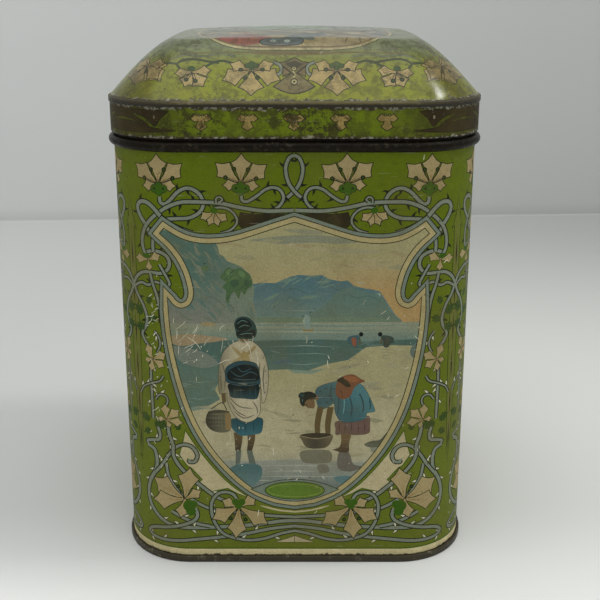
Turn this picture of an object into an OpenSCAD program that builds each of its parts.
// Square lithographed tin with a lift-off domed lid, all of thin tinplate.
// Millimetres. +Z up, the tin stands on z = 0, the front faces -Y.
// Every sheet is drawn as a path in (out, z): "out" is the distance outside the
// body wall's outer face, so one rounded square carries all the seams and beads.

/* [Body] */
// Width of the body across its flat sides
body_w = 102; // [92:1:112]
// Corner radius of the body wall's outer face
corner_r = 20; // [16:1:24]
// Thickness of the tinplate
sheet = 0.28; // [0.24:0.01:0.30]
// Height of the middle of the stop bead
bead_z = 124.8; // [100:0.1:130]
// Outer radius of the stop bead
bead_r = 1.4; // [1.2:0.1:1.6]
// How far the stop bead stands out of the wall
bead_out = 1.5; // [1.3:0.1:1.7]
// How far the neck is set in from the wall
neck_in = 0.3; // [0.2:0.05:0.4]

/* [Base] */
// Height of the double seam round the base
seam_h = 2.0; // [1.8:0.1:2.6]
// Depth of the countersunk base panel's top side
base_sunk = 3.0; // [2.8:0.1:4]
// Distance from the wall to the base panel's stiffening bead
base_bead_in = 8; // [6:1:10]

/* [Lid] */
// Height from the bead's middle to the skirt's lower edge
skirt_above_bead = 2.2; // [1.8:0.1:3]
// Height of the lid's side from the skirt's lower edge to the shoulder
lid_side_h = 9.8; // [8:0.1:14]
// Height of the rim that folds down over the skirt
rim_h = 1.4; // [1.2:0.1:2]
// Height of the inward hem at the skirt's lower edge
hem_h = 2.4; // [1.5:0.1:3]
// Width of the sloping border of the dome
slope_w = 17.2; // [14:0.1:20]
// Rise of the sloping border
slope_rise = 13.9; // [8:0.1:16]
// Extra rise of the crown in the middle of the dome
crown_rise = 2.9; // [1:0.1:5]

/* [Hidden] */
$fn = 96;

half_w = body_w / 2;
gap = 0.02;                  // between layers that are folded onto each other
mid = sheet / 2;             // from a sheet's face to its middle
bend = 0.2;                  // bend radius in the middle of the sheet
bend_steps = 3;
hem_pitch = 2 * bend + 0.08; // between the two layers of an open hem

// Middle of each layer of the double seam, from the inside out
chuck_out = -3 * mid - gap;
wall_out = -mid;
cover_hook_out = mid + gap;
body_hook_out = cover_hook_out + sheet + gap;
seam_out = body_hook_out + sheet + gap;

// Neck and lid, from the inside out
neck_out = -neck_in - mid;
neck_hem_out = neck_out - hem_pitch;
lid_play = 0.3;              // between the neck and the skirt's hem
skirt_hem_out = neck_out + mid + lid_play + mid;
skirt_out = skirt_hem_out + hem_pitch;
facet_play = 0.06;           // room for the flats of the pressed top's rim
rim_in = skirt_out + mid + facet_play;
rim_out = rim_in + sheet;

skirt_z = bead_z + skirt_above_bead;
shoulder_z = skirt_z + lid_side_h;
flange_z = shoulder_z - sheet - 2 * gap - mid;   // middle of the skirt's top flange
flange_w = 2.5;
neck_z = flange_z - mid - 0.3;                   // top of the neck, just under the flange
neck_hem_h = 3;

// Folded lock seams up the middle of the back
lock_w = 6;
lock_layers = 3;
groove_w = 0.4;
groove_d = 0.12;

// Pressed top
rim_led = 0.45;              // where the slope starts, outside the wall
slope_power = 1.4;           // 1 is a straight bevel, 2 a round one
corner_keep = 0.7;           // how fast the corner radius shrinks up the slope
slope_rings = 9;
crown_rings = 5;
arc_steps = 12;
side_steps = 6;

// ---- paths of sheet ----

function unit(v) = v / norm(v);
function left(v) = [-v[1], v[0]];

// A path with each inner corner turned into a small arc of the bend radius
function bent(path, r) = [
    for (i = [0:len(path) - 1])
        if (i == 0 || i == len(path) - 1) path[i]
        else each bend_points(path[i - 1], path[i], path[i + 1], r)
];
function bend_points(a, b, c, r) =
    let (u = unit(a - b), v = unit(c - b), half = acos(u * v) / 2)
    half > 89 ? [b] :
    let (reach = r / tan(half), centre = b + unit(u + v) * (r / sin(half)),
         from = b + u * reach - centre, to = b + v * reach - centre,
         a0 = atan2(from[1], from[0]), turn = wrap(atan2(to[1], to[0]) - a0))
    [for (k = [0:bend_steps]) centre + r * [cos(a0 + turn * k / bend_steps),
                                            sin(a0 + turn * k / bend_steps)]];
function wrap(a) = a > 180 ? a - 360 : a < -180 ? a + 360 : a;

// One side of the sheet: every point moved along the mitre of its two stretches
function side(path, d) = [
    for (i = [0:len(path) - 1])
        let (n0 = i == 0 ? left(unit(path[1] - path[0])) : left(unit(path[i] - path[i - 1])),
             n1 = i == len(path) - 1 ? n0 : left(unit(path[i + 1] - path[i])))
        path[i] + d * (n0 + n1) / (1 + n0 * n1)
];
function reversed(list) = [for (i = [len(list) - 1:-1:0]) list[i]];

module sheet_section(path) polygon(concat(side(path, mid), reversed(side(path, -mid))));

// A section in (out, z) carried round the rounded square: four sides and four corners
module around(path) {
    flat = half_w - corner_r;
    for (q = [0:3]) rotate([0, 0, 90 * q]) {
        translate([flat, -flat, 0]) rotate([90, 0, 180]) mirror([1, 0, 0])
            linear_extrude(2 * flat) translate([corner_r, 0]) sheet_section(path);
        translate([flat, flat, 0])
            rotate_extrude(angle = 90) translate([corner_r, 0]) sheet_section(path);
    }
}

module rounded_square(h, r) {
    square([2 * h, 2 * (h - r)], center = true);
    square([2 * (h - r), 2 * h], center = true);
    for (x = [-1, 1], y = [-1, 1]) translate([x * (h - r), y * (h - r)]) circle(r);
}

// ---- pieces ----

// Wall in one wrapped sheet: hook in the base seam, side, stop bead, neck and hem
module body_wall() color("olivedrab") {
    hook_low = sheet + gap + mid;
    bead_mid = bead_r - mid;
    bead_centre = bead_out - bead_r;
    path = concat(
        bent([[body_hook_out, seam_h - sheet - 2 * gap], [body_hook_out, hook_low],
              [wall_out, hook_low], [wall_out, bead_z - bead_r]], bend),
        [for (a = [-90:15:90]) [bead_centre + bead_mid * cos(a), bead_z + bead_mid * sin(a)]],
        bent([[neck_out, bead_z + bead_r], [neck_out, neck_z - mid],
              [neck_hem_out, neck_z - mid], [neck_hem_out, neck_z - neck_hem_h]], bend)
    );
    seam_low = base_sunk + 2 * sheet;
    seam_high = bead_z - bead_r - 1;
    difference() {
        union() {
            around(path);
            translate([-lock_w / 2, half_w - sheet - lock_layers * sheet, seam_low])
                cube([lock_w, lock_layers * sheet + mid, seam_high - seam_low]);
        }
        translate([lock_w / 2 - groove_w, half_w - groove_d, seam_h + 1])
            cube([groove_w, 1, seam_high - seam_h - 1]);
    }
}

// Countersunk base: cover hook, seam wall, stacking foot, chuck wall and beaded panel
module base_panel() color("dimgray") {
    panel_z = base_sunk + mid;
    bead_w = 2.4;
    bead_d = 0.6;
    edge = -base_bead_in - bead_w - 2;
    around(bent([
        [cover_hook_out, 0.7], [cover_hook_out, seam_h - mid], [seam_out, seam_h - mid],
        [seam_out, mid], [chuck_out, mid], [chuck_out, panel_z],
        [-base_bead_in, panel_z], [-base_bead_in - bead_d, panel_z - bead_d],
        [-base_bead_in - bead_w + bead_d, panel_z - bead_d],
        [-base_bead_in - bead_w, panel_z], [edge, panel_z]
    ], bend));
    translate([0, 0, base_sunk]) linear_extrude(sheet)
        rounded_square(half_w + edge, corner_r + edge);
}

// Straight band of the lid: inward hem at the bottom, flange under the pressed top
module lid_skirt() color("darkolivegreen") {
    around(bent([
        [skirt_hem_out, skirt_z + hem_h], [skirt_hem_out, skirt_z + mid],
        [skirt_out, skirt_z + mid], [skirt_out, flange_z], [-flange_w, flange_z]
    ], bend));
    lap_low = skirt_z + hem_h + 2 * gap;
    translate([-lock_w / 3, half_w + skirt_out - mid - sheet, lap_low])
        cube([lock_w * 2 / 3, sheet + mid / 2, flange_z - sheet - lap_low]);
}

// Points round a rounded square of half width h and corner radius r, at height z
function ring(h, r, z) = [
    for (q = [0:3], k = [0:arc_steps + side_steps - 1])
        let (s = k <= arc_steps ? 0 : (k - arc_steps) / side_steps,
             a = min(k, arc_steps) * 90 / arc_steps,
             x = (h - r) * (1 - 2 * s) + r * cos(a),
             y = (h - r) + r * sin(a))
        [x * cos(90 * q) - y * sin(90 * q), x * sin(90 * q) + y * cos(90 * q), z]
];

// Height of the pressed top: t runs up the slope from 0 to 1
function top_z(t, p) =
    let (h = half_w + rim_led, x = min(abs(p[0]) / h, 1), y = min(abs(p[1]) / h, 1))
    shoulder_z + slope_rise * (1 - pow(1 - t, slope_power))
    + crown_rise * (1 - x * x) * (1 - y * y);
function slope_ring(t, drop) =
    let (h = half_w + rim_led - slope_w * t,
         r = corner_r + rim_led - corner_keep * slope_w * t)
    [for (p = ring(h, r, 0)) [p[0], p[1], top_z(t, p) - drop]];
function crown_ring(s, drop) =
    [for (p = slope_ring(1, 0)) let (c = [p[0] * s, p[1] * s]) [c[0], c[1], top_z(1, c) - drop]];
function rim_ring(out, z) = ring(half_w + out, corner_r + out, z);

// Rings of one face of the pressed top, from its shoulder to beside its middle
function face_rings(drop) = concat(
    [for (k = [0:slope_rings]) slope_ring(k / slope_rings, drop)],
    [for (k = [crown_rings - 1:-1:1]) crown_ring(k / crown_rings, drop)]
);

// Pressed domed top in one sheet, its rim folded down over the skirt
module lid_top() color("yellowgreen") {
    low = shoulder_z - rim_h;
    rings = concat(
        [rim_ring(rim_out, low), rim_ring(rim_out, shoulder_z - mid),
         rim_ring(rim_out - mid, shoulder_z)],
        face_rings(0), reversed(face_rings(sheet)),
        [rim_ring(rim_in, shoulder_z - sheet), rim_ring(rim_in, low)]
    );
    n = len(rings[0]);
    outer = 3 + len(face_rings(0));          // rings before the crown's middle
    top_i = n * len(rings);
    under_i = top_i + 1;
    crown_z = top_z(1, [0, 0]);
    polyhedron(
        points = concat([for (each_ring = rings) each each_ring],
                        [[0, 0, crown_z], [0, 0, crown_z - sheet]]),
        faces = concat(
            [for (k = [0:len(rings) - 1], i = [0:n - 1]) if (k != outer - 1)
                let (a = k * n + i, b = k * n + (i + 1) % n, next = (k + 1) % len(rings),
                     c = next * n + (i + 1) % n, d = next * n + i)
                each [[a, c, b], [a, d, c]]],
            [for (i = [0:n - 1]) [(outer - 1) * n + i, top_i, (outer - 1) * n + (i + 1) % n]],
            [for (i = [0:n - 1]) [outer * n + (i + 1) % n, under_i, outer * n + i]]
        )
    );
}

body_wall();
base_panel();
lid_skirt();
lid_top();
